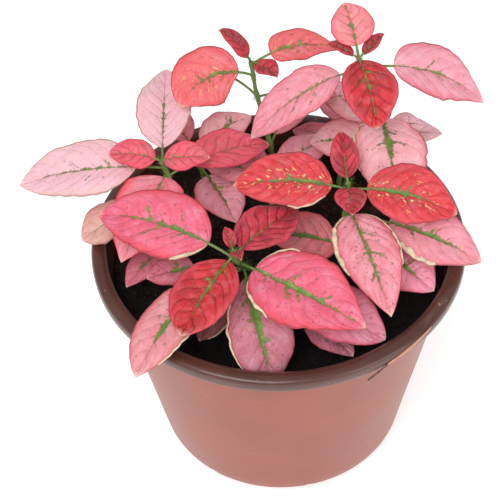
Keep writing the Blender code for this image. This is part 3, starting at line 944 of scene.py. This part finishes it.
def lay_blade(form, layers, line, leaf, look, strokes, seed):
    cells_along = max(10, round(leaf.length / CELL))
    cells_across = max(8, 2 * round(leaf.width / CELL / 2))
    bmesh.ops.create_grid(form, x_segments=cells_along, y_segments=cells_across, size=1)
    marks = (look.green, look.cream, look.grooves, look.specks)
    frames = {}
    for point in form.verts:
        across = point.co.y
        evenly = (point.co.x + 1) / 2
        along = 0.5 * evenly + 0.5 * (1 - cos(pi * evenly)) / 2
        key = round(evenly * cells_along)
        if key not in frames:
            frames[key] = blade_frame(line, leaf, along)
        half = half_width(leaf, along)
        point[layers["leaf_share"]] = (along, across, 0)
        point[layers["leaf_place"]] = (along * leaf.length, across * half, seed)
        point[layers["leaf_green"]] = max(distance_to(s, leaf, half, along, across) for s in strokes)
        row = vein_row(leaf, along, across, seed)
        point[layers["leaf_vein"]] = row
        point[layers["leaf_tint"]] = paint(*look.tint)
        point[layers["leaf_edge"]] = paint(*look.edge)
        point[layers["leaf_marks"]] = marks
        point.co = blade_point(frames[key], leaf, along, across, row, look.quilt, seed) * MM


# %% [markdown]
# A curl is made as a tailor makes a hem: the margin's edges are extruded in a few steps, and each step
# turns further up and in. The ribbon tapers to nothing at its two ends.

# %% Roll up a margin
def roll_margin(form, layers, line, leaf, curl):
    share = layers["leaf_share"]
    place = layers["leaf_place"]

    def on_margin(point):
        return point[share].y * curl.side > 0.999 and curl.start <= point[share].x <= curl.end

    edges = [e for e in form.edges if e.is_boundary and all(on_margin(p) for p in e.verts)]
    for step in range(CURL_STEPS):
        made = bmesh.ops.extrude_edge_only(form, edges=edges)["geom"]
        edges = [g for g in made if isinstance(g, bmesh.types.BMEdge) and g.is_boundary
                 and all(p in made for p in g.verts)]
        turned = min(1, (step + 0.6) / CURL_STEPS * (1.0 if curl.turn > 200 else 1.9))
        for point in {g for g in made if isinstance(g, bmesh.types.BMVert)}:
            along = point[share].x
            crinkle = noise.noise(Vector((along * leaf.length / 1.6, curl.side, 7)))
            angle = radians(curl.turn) * turned * (1 + 0.45 * crinkle)
            taper = sin(pi * min(max((along - curl.start) / (curl.end - curl.start), 0), 1)) ** 0.6
            taper *= 0.85 + 0.9 * noise.noise(Vector((along * leaf.length / 2.6, curl.side, 3)))
            _, side, up = blade_frame(line, leaf, along)
            reach = curl.width / CURL_STEPS * max(taper, 0.02)
            point.co += (side * curl.side * cos(angle) + up * sin(angle)) * reach * MM
            point[share] = (along, point[share].y, (step + 1) / CURL_STEPS)
            point[place] = (point[place].x, point[place].y + curl.side * reach, point[place].z)


# %% [markdown]
# The blade gets its thickness last. Its sheet is extruded into a closed shell, with the old sheet as
# the underside and the new one as the top, and both move half the thickness apart, along normals that
# were taken before. The margin is thinner than the middle, as on a real leaf.

# %% Give a sheet its thickness
THICK = 0.42
THIN = 0.24
UNDER = 1


def thicken(form, layers):
    """Makes a closed shell of the sheet. Its margin joins the top's finish."""
    form.normal_update()
    push = form.verts.layers.float_vector.new("push")
    for point in form.verts:
        out = min(1, abs(point[layers["leaf_share"]].y))
        point[push] = point.normal * (THICK + (THIN - THICK) * out ** 2) / 2 * MM
    under_points = list(form.verts)
    under_faces = list(form.faces)
    made = bmesh.ops.extrude_face_region(form, geom=under_faces, use_keep_orig=True)["geom"]
    for point in under_points:
        point.co -= point[push]
    for point in made:
        if isinstance(point, bmesh.types.BMVert):
            point.co += point[push]
    for face in under_faces:
        face.material_index = UNDER
    form.verts.layers.float_vector.remove(push)
    face_outwards(form)


# %% [markdown]
# All leaves share one pattern, with each leaf's own colours and amounts from its layers. It starts from
# the blade's colour, clouded and with a deeper margin, and lays over it painted shade in the grooves, the
# green of the veins with its ragged edge, the specks, and the cream flecks. It is a group, because the top
# and the paler underside both use it. Its formulas are long, so the helpers get short names for this group.

# %% Group: leaf pattern
pattern, entry, result = new_group(
    "leaf_pattern",
    {"Share": "Vector", "Place": "Vector", "Green": "Float", "Vein": "Float", "Tint": "Color",
     "Edge": "Color", "Cream": "Float", "Grooves": "Float", "Specks": "Float"},
    {"Colour": "Color", "Green Mask": "Float", "Curl Mask": "Float", "Height": "Float"})
do = partial(maths, pattern)
times = partial(maths, pattern, "MULTIPLY")
slope = partial(ramp, pattern)
blend = partial(mixed, pattern)
spots = partial(cloud, pattern, entry["Place"])

along, across, curled = split(pattern, entry["Share"])
_, aside, seed = split(pattern, entry["Place"])
out = do("ABSOLUTE", across)
fine = spots(1.1, 3, seed)
broad = spots(0.2, 2, do("ADD", seed, 9))
blotch = spots(0.5, 4, do("ADD", seed, 21))
pores = spots(3.2, 2, seed)

# %% [markdown]
# The side veins lie where the row number is half way between two whole ones. They come and go, so each
# is weighed with a soft noise. Between them lies a net of finer veins: the borders of Voronoi cells.

# %% Veins in the pattern
shift = times(do("LESS_THAN", across, 0), VEIN_SHIFT)
row = do("ADD", entry["Vein"], shift)
wiggle = do("MULTIPLY_ADD", do("SUBTRACT", fine, 0.5), 0.16, row)
near_vein = do("ABSOLUTE", do("SUBTRACT", do("FRACT", wiggle), 0.5))
near_vein = times(near_vein, 2)
vein_line = times(slope(near_vein, 0.72, 0.96), slope(blotch, 0.2, 0.45))
inner = slope(out, 0.98, 0.6)
mesh_cells = pattern.nodes.new("ShaderNodeTexVoronoi")
mesh_cells.feature = "DISTANCE_TO_EDGE"
mesh_cells.inputs["Scale"].default_value = 0.85
feed(pattern, mesh_cells.inputs["Vector"], stretched(pattern, entry["Place"], (1, 1.4, 1)))
net = slope(mesh_cells.outputs["Distance"], 0.16, 0.02)
rib_line = times(slope(do("ABSOLUTE", aside), 0.34, 0.12), slope(along, 0.96, 0.7))

# %% [markdown]
# The blade's own colour is mottled, with deeper patches on the young red leaves, and goes over to the
# margin's colour. A thin dark line runs along the very edge. The sunken veins are darkened with painted
# shade, less on pale leaves than on red ones.

# %% Ground colour of the blade
tint = entry["Tint"]
# How dark the deep colour goes. It serves the deeper patches and the painted shade in the grooves.
deep_share = do("MULTIPLY_ADD", entry["Grooves"], 0.42, 0.42)
deep = blend(deep_share, tint, (0.16, 0.008, 0.012, 1))
pale = blend(0.38, tint, (1, 0.85, 0.87, 1))
ground = blend(slope(broad, 0.35, 0.75, 0.0, 0.45), tint, entry["Edge"])
ground = blend(slope(broad, 0.5, 0.2, 0.0, 0.5), ground, pale)
ground = blend(slope(blotch, 0.52, 0.34, 0.0, 0.20), ground, pale)
ground = blend(slope(blotch, 0.52, 0.72, 0.0, 0.26), ground, deep)
shaded = times(slope(broad, 0.58, 0.40, 0.0, 0.6), entry["Grooves"])
ground = blend(shaded, ground, deep)
margin = slope(do("MULTIPLY_ADD", fine, 0.25, out), 0.8, 1.12)
ground = blend(margin, ground, entry["Edge"])
ground = blend(times(net, 0.14), ground, deep)
ground = blend(slope(along, 0.93, 1.0, 0.0, 0.5), ground, paint(252, 222, 200))
# Painted shade along the sunken side veins, strongest on the deeply grooved red leaves.
groove_shade = times(times(vein_line, inner), entry["Grooves"])
ground = blend(times(groove_shade, 0.85), ground, deep)
ground = blend(times(rib_line, 0.5), ground, blend(0.5, deep, paint(96, 112, 60)))
edge_place = do("MULTIPLY_ADD", fine, 0.05, out)
line_share = times(slope(edge_place, 0.95, 0.985), 0.72)
ground = blend(line_share, ground, blend(0.6, entry["Edge"], (0.17, 0.02, 0.02, 1)))

# %% [markdown]
# The green lies where the strokes' layer is above zero, and noise frays its edge. Threads of it run out
# along the side veins nearby. It is bounded by a brownish line, and changes between olive, yellow-green
# and dark green.

# %% Green of the veins
fray = spots(0.9, 6, do("ADD", seed, 2))
frayed = do("MULTIPLY_ADD", do("SUBTRACT", fray, 0.54), 2.6, entry["Green"])
frayed = do("MULTIPLY_ADD", do("SUBTRACT", pores, 0.5), 0.9, frayed)
green_mask = slope(frayed, -0.04, 0.12)
border = slope(frayed, -0.36, -0.02, 0.0, 0.5)
greens = blend(slope(frayed, 0.05, 0.8), paint(124, 128, 80), paint(106, 150, 66))
greens = blend(slope(blotch, 0.48, 0.60, 0.0, 0.7), greens, paint(150, 168, 74))
greens = blend(slope(pores, 0.46, 0.7, 0.0, 0.65), greens, paint(66, 98, 44))
halo = slope(entry["Green"], -5.5, -0.6)
threads = times(slope(near_vein, 0.84, 0.95), slope(fray, 0.48, 0.56))
threads = times(threads, slope(entry["Green"], -2.2, -0.4, 0.0, 0.75))

# %% [markdown]
# Cream flecks gather in patches near the green, as short dashes that follow the side veins: their
# noise is squeezed along the row numbers. Specks are the middles of cells of a Voronoi texture, kept
# by chance, in two sizes.

# %% Flecks and specks
beside = pattern.nodes.new("ShaderNodeCombineXYZ")
bent = do("MULTIPLY_ADD", fine, 0.9, times(entry["Vein"], 3.4))
feed(pattern, beside.inputs[0], bent)
feed(pattern, beside.inputs[1], times(aside, 0.8))
dashes = cloud(pattern, beside.outputs[0], 1.0, 4, do("ADD", seed, 4))
gathered = slope(blotch, 0.47, 0.56)
fleck = times(times(halo, gathered), entry["Cream"])
cream_mask = times(slope(dashes, 0.56, 0.61), fleck)
fleck_border = times(slope(dashes, 0.52, 0.56), fleck)


def speckled(scale, share):
    """Ragged dots about one cell apart, of which a share is kept."""
    cells = pattern.nodes.new("ShaderNodeTexVoronoi")
    cells.inputs["Scale"].default_value = scale
    feed(pattern, cells.inputs["Vector"], entry["Place"])
    kept = do("LESS_THAN", split(pattern, cells.outputs["Color"])[0], share)
    ragged = do("MULTIPLY_ADD", fine, 0.5, cells.outputs["Distance"])
    return times(slope(ragged, 0.52, 0.42), kept)


coarse = speckled(0.5, entry["Specks"])
small = speckled(0.85, times(entry["Specks"], 0.6))
speck_mask = times(do("MAXIMUM", coarse, small), inner)
brown = blend(0.55, tint, paint(70, 58, 28))
colour = blend(times(fleck_border, 0.4), ground, paint(190, 150, 80))
colour = blend(times(cream_mask, 0.9), colour, paint(252, 222, 165))
colour = blend(times(speck_mask, 0.75), colour, brown)
colour = blend(do("MAXIMUM", border, threads), colour, blend(0.5, brown, paint(104, 112, 58)))
colour = blend(green_mask, colour, greens)

# %% [markdown]
# A rolled margin is cream, with beige patches of painted shade, a browner far edge, and a brownish
# line of painted shade in the crease where it turns over. The surface's height rises between the veins
# and has fine pores, which the materials use for their bump.

# %% The pattern's results
curl_mask = slope(curled, 0.05, 0.3)
# Beige patches on the cream ribbon are painted shade.
ribbon = blend(slope(fine, 0.42, 0.66), paint(232, 212, 184), paint(190, 144, 118))
ribbon = blend(slope(curled, 0.7, 1.0, 0.0, 0.5), ribbon, paint(170, 120, 96))
colour = blend(curl_mask, colour, ribbon)
# Painted shade in the crease where the margin turns over.
fold_shade = times(slope(curled, 0.02, 0.12), slope(curled, 0.34, 0.16))
colour = blend(times(fold_shade, 0.6), colour, paint(136, 84, 66))
height = do("MULTIPLY_ADD", pores, 0.35, times(fine, 0.7))
height = do("MULTIPLY_ADD", slope(near_vein, 0.6, 1.0), -0.9, height)
height = do("MULTIPLY_ADD", net, -0.45, height)
for socket, value in zip(result, (colour, green_mask, curl_mask, height)):
    feed(pattern, socket, value)

# %% [markdown]
# The top is satin, a little glossier where it is green. The underside is paler and duller, the same
# pattern shows through it, and its relief is turned round, so that the veins stand out.

# %% Leaf materials
def layer(tree, name, output="Vector"):
    node = tree.nodes.new("ShaderNodeAttribute")
    node.attribute_name = name
    return node.outputs[output]


def patterned(tree):
    marks = tree.nodes.new("ShaderNodeSeparateColor")
    feed(tree, marks.inputs[0], layer(tree, "leaf_marks", "Color"))
    return placed_group(
        tree, pattern, Share=layer(tree, "leaf_share"), Place=layer(tree, "leaf_place"),
        Green=layer(tree, "leaf_green", "Fac"), Vein=layer(tree, "leaf_vein", "Fac"),
        Tint=layer(tree, "leaf_tint", "Color"), Edge=layer(tree, "leaf_edge", "Color"),
        Cream=marks.outputs[1], Grooves=marks.outputs[2], Specks=layer(tree, "leaf_marks", "Alpha"))


leaf_top, tree, sockets = new_material("leaf_top", Roughness=0.45, Specular_IOR_Level=0.35)
shown = patterned(tree)
feed(tree, sockets["Base Color"], shown["Colour"])
feed(tree, sockets["Roughness"], ramp(tree, shown["Green Mask"], 0.0, 1.0, 0.48, 0.38))
feed(tree, sockets["Normal"], raised(tree, shown["Height"], 0.0002, 0.7))

leaf_under, tree, sockets = new_material("leaf_underside", Roughness=0.6, Specular_IOR_Level=0.3)
shown = patterned(tree)
faded = mixed(tree, 0.45, shown["Colour"], paint(232, 192, 180))
faded = mixed(tree, shown["Curl Mask"], faded, mixed(tree, 0.5, shown["Colour"], paint(232, 208, 180)))
feed(tree, sockets["Base Color"], faded)
feed(tree, sockets["Normal"], raised(tree, maths(tree, "MULTIPLY", shown["Height"], -1), 0.00015, 0.6))

# %% [markdown]
# Now every leaf is made: its sheet, its curls, its thickness. Each is a piece of its own, named by its
# shoot and its row in the table, so that a single leaf can be found and changed.

# %% Make the leaves
def make_leaf(label, path, leaf, look, node, seed):
    form = bmesh.new()
    layers = new_layers(form)
    line = middle_line(place_on_stem(path, leaf.height), leaf)
    strokes = GREEN.get(label) or chance_strokes(random.Random(seed), look.green)
    lay_blade(form, layers, line, leaf, look, strokes, seed)
    for curl in CURLS.get(label, []):
        roll_margin(form, layers, line, leaf, curl)
    thicken(form, layers)
    faces = len(form.faces)
    finish_piece("leaf_" + label, form, [leaf_top, leaf_under], [node])
    return faces


leaf_faces = 0
leaf_number = 0
for shoot, (path, leaves) in STEMS.items():
    for row, (look_name, leaf) in enumerate(leaves, 1):
        leaf_number += 1
        leaf_faces += make_leaf(f"{shoot}_{row}", path, leaf, LOOKS[look_name], "stem_" + shoot, leaf_number)
print("leaves:", leaf_number, "with", leaf_faces, "faces")

# %% [markdown]
# The shoots are tubes: a stem that tapers upwards, and a stalk for each leaf that runs on under the
# blade as its rib. A tube could be a bevelled curve, but extruding a ring from point to point gives a
# radius for each place and lets the nodes swell where leaves join.

# %% Tubes
STEM_RADIUS = 1.0
STEM_TOP_RADIUS = 0.58
STALK_RADIUS = 0.42
RIB_RADIUS = 0.34
RIB_END_RADIUS = 0.12
NODE_SWELL = 1.4


def grow_tube(form, points, radii, sides):
    """Extrudes a ring along points in mm, each with its radius, and closes both ends."""
    aside = Vector((1, 0, 0))
    earlier = None
    for number, (point, radius) in enumerate(zip(points, radii)):
        before, after = points[max(number - 1, 0)], points[min(number + 1, len(points) - 1)]
        ahead = (after - before).normalized()
        aside = (aside - ahead * aside.dot(ahead)).normalized()
        turn = Matrix((aside, ahead.cross(aside), ahead)).transposed().to_4x4()
        place = Matrix.Translation(point * MM) @ turn @ Matrix.Scale(radius * MM, 4)
        if earlier is None:
            ring = bmesh.ops.create_circle(
                form, cap_ends=True, segments=sides, radius=1, matrix=place)["verts"]
            edges = list({edge for vert in ring for edge in vert.link_edges})
        else:
            made = bmesh.ops.extrude_edge_only(form, edges=edges)["geom"]
            ring = [g for g in made if isinstance(g, bmesh.types.BMVert)]
            members = set(ring)
            edges = [g for g in made if isinstance(g, bmesh.types.BMEdge)
                     and all(vert in members for vert in g.verts)]
            bmesh.ops.transform(form, matrix=place @ earlier.inverted(), verts=ring)
        earlier = place
    bmesh.ops.holes_fill(form, edges=edges, sides=sides)


# %% [markdown]
# Fine hairs stand round the joints. Each is a three-sided cone, so that hundreds of them stay light.

# %% Hairs
HAIR_RADIUS = 0.05


def grow_hair(form, place, direction, length):
    turn = direction.to_track_quat("Z", "Y").to_matrix().to_4x4()
    bmesh.ops.create_cone(form, cap_ends=False, segments=3, radius1=HAIR_RADIUS * MM, radius2=0.01 * MM,
                          depth=length * MM,
                          matrix=Matrix.Translation((place + direction * length / 2) * MM) @ turn)


def grow_hairs(form, chance, middle, radius, reach, count):
    for _ in range(count):
        angle = chance.uniform(0, 2 * pi)
        outwards = Vector((cos(angle), sin(angle), chance.uniform(-0.2, 0.9))).normalized()
        place = middle + Vector((outwards.x, outwards.y, 0)) * radius + UP * chance.uniform(-reach, reach)
        grow_hair(form, place, outwards, chance.uniform(0.6, 1.6))


# %% [markdown]
# Stems and stalks are green, with a fine lengthwise grain and a dull reddish flush in patches.

# %% Green stem
stem_finish, tree, sockets = new_material("green_stem", Roughness=0.5, Specular_IOR_Level=0.4)
flush = cloud(tree, object_place(tree), 140, 3)
lines = cloud(tree, stretched(tree, object_place(tree), (2600, 2600, 260)), 1, 3)
base = mixed(tree, ramp(tree, flush, 0.35, 0.65), paint(92, 122, 58), paint(124, 150, 80))
base = mixed(tree, ramp(tree, lines, 0.5, 0.75, 0.0, 0.5), base, paint(78, 104, 48))
base = mixed(tree, ramp(tree, flush, 0.58, 0.75, 0.0, 0.6), base, paint(150, 96, 88))
feed(tree, sockets["Base Color"], base)
feed(tree, sockets["Normal"], raised(tree, lines, 0.0001, 0.5))

# %% [markdown]
# The leaves' stalks join their stem at swollen nodes, where the hairs grow. A shoot's stem,
# stalks, ribs and hairs are one piece, since they have one finish and grow as one.

# %% Make the shoots
STEM_STEPS = 8
STEM_SIDES = 14
STALK_STEPS = 16
STALK_SIDES = 8
RIB_END = 0.9
JOINT_HAIRS = 26
HAIR_REACH = 2.5


def stem_line(path, steps):
    """Points along the stem from under the mix to its top."""
    foot = Vector(path[0])
    down = (foot - Vector(path[1])).normalized()
    points = [foot + down * 12] + [Vector(p) for p in path]
    line = []
    for lower, upper in zip(points, points[1:]):
        line += [lower.lerp(upper, step / steps) for step in range(steps)]
    return line + [points[-1]]


def stem_radius(path, leaves, height):
    share = min(max((height - path[0][2]) / (path[-1][2] - path[0][2]), 0), 1)
    radius = STEM_RADIUS + (STEM_TOP_RADIUS - STEM_RADIUS) * share
    nearest = min(abs(leaf.height - height) for _, leaf in leaves)
    return radius * (1 + (NODE_SWELL - 1) * exp(-(nearest / 1.3) ** 2))


def stalk_points(line, leaf, quilt):
    """The stalk, and the rib that runs on just under the blade."""
    whole = leaf.stalk + leaf.length
    slim = min(1, leaf.length / 18 + 0.3)
    points, radii = [], []
    for step in range(STALK_STEPS + 1):
        share = RIB_END * step / STALK_STEPS
        along = (share * whole - leaf.stalk) / leaf.length
        point, radius = on_line(line, share)[0], STALK_RADIUS
        if along > 0:
            point, _, up = blade_frame(line, leaf, along)
            radius = RIB_RADIUS + (RIB_END_RADIUS - RIB_RADIUS) * min(1, along / 0.85)
            settled = min(1, along / 0.1)
            point -= up * (radius + quilt) * settled
        points.append(point)
        radii.append(radius * slim)
    return points, radii


for shoot, (path, leaves) in STEMS.items():
    form = bmesh.new()
    stem = stem_line(path, STEM_STEPS)
    grow_tube(form, stem, [stem_radius(path, leaves, point.z) for point in stem], STEM_SIDES)
    chance = random.Random(shoot)
    for look_name, leaf in leaves:
        joint = place_on_stem(path, leaf.height)
        points, radii = stalk_points(middle_line(joint, leaf), leaf, LOOKS[look_name].quilt)
        grow_tube(form, points, radii, STALK_SIDES)
        radius = stem_radius(path, leaves, leaf.height)
        grow_hairs(form, chance, joint, radius, HAIR_REACH, JOINT_HAIRS)
    face_outwards(form)
    print(shoot, "shoot:", len(form.faces), "faces")
    finish_piece("shoot_" + shoot, form, [stem_finish], ["stem_" + shoot])

# %% [markdown]
# At the front right the rolled rim has been scraped: a sliver of its skin is lifted, with the
# terracotta showing on it, and a dark scrap hangs from its end.

# %% Scraped rim
SLIVER_STEPS = 14
SCRAP_STEPS = 8
SCRAPE_SIDES = 6


def on_skirt(angle, height, proud=0.12):
    turn = radians(angle)
    return Vector((cos(turn), sin(turn), 0)) * (RIM_RADIUS + proud) + UP * height


sliver_form = bmesh.new()
sliver = [on_skirt(-42 - 18 * s / SLIVER_STEPS, 86.4 - 2.9 * s / SLIVER_STEPS)
          for s in range(SLIVER_STEPS + 1)]
widths = [0.12 + 0.34 * sin(pi * (s + 1) / (SLIVER_STEPS + 2)) for s in range(SLIVER_STEPS + 1)]
grow_tube(sliver_form, sliver, widths, SCRAPE_SIDES)
scrap_form = bmesh.new()
shares = [s / SCRAP_STEPS for s in range(SCRAP_STEPS + 1)]
scrap = [on_skirt(-59 - 6.5 * share, 83.7 - 2.6 * share, 0.15 + 0.5 * share) for share in shares]
widths = [0.3 + 0.25 * noise.noise(Vector((s * 0.9, 0, 0))) for s in range(SCRAP_STEPS + 1)]
grow_tube(scrap_form, scrap, widths, SCRAPE_SIDES)
raw_skin, tree, sockets = new_material("scraped_skin", Roughness=0.7)
worn = cloud(tree, object_place(tree), 600, 3)
feed(tree, sockets["Base Color"], mixed(tree, worn, paint(226, 168, 142), paint(176, 112, 90)))
for form in (sliver_form, scrap_form):
    face_outwards(form)
finish_piece("scraped_sliver", sliver_form, [raw_skin], ["pot"])
finish_piece("hanging_scrap", scrap_form, [dark_plastic], ["pot"])
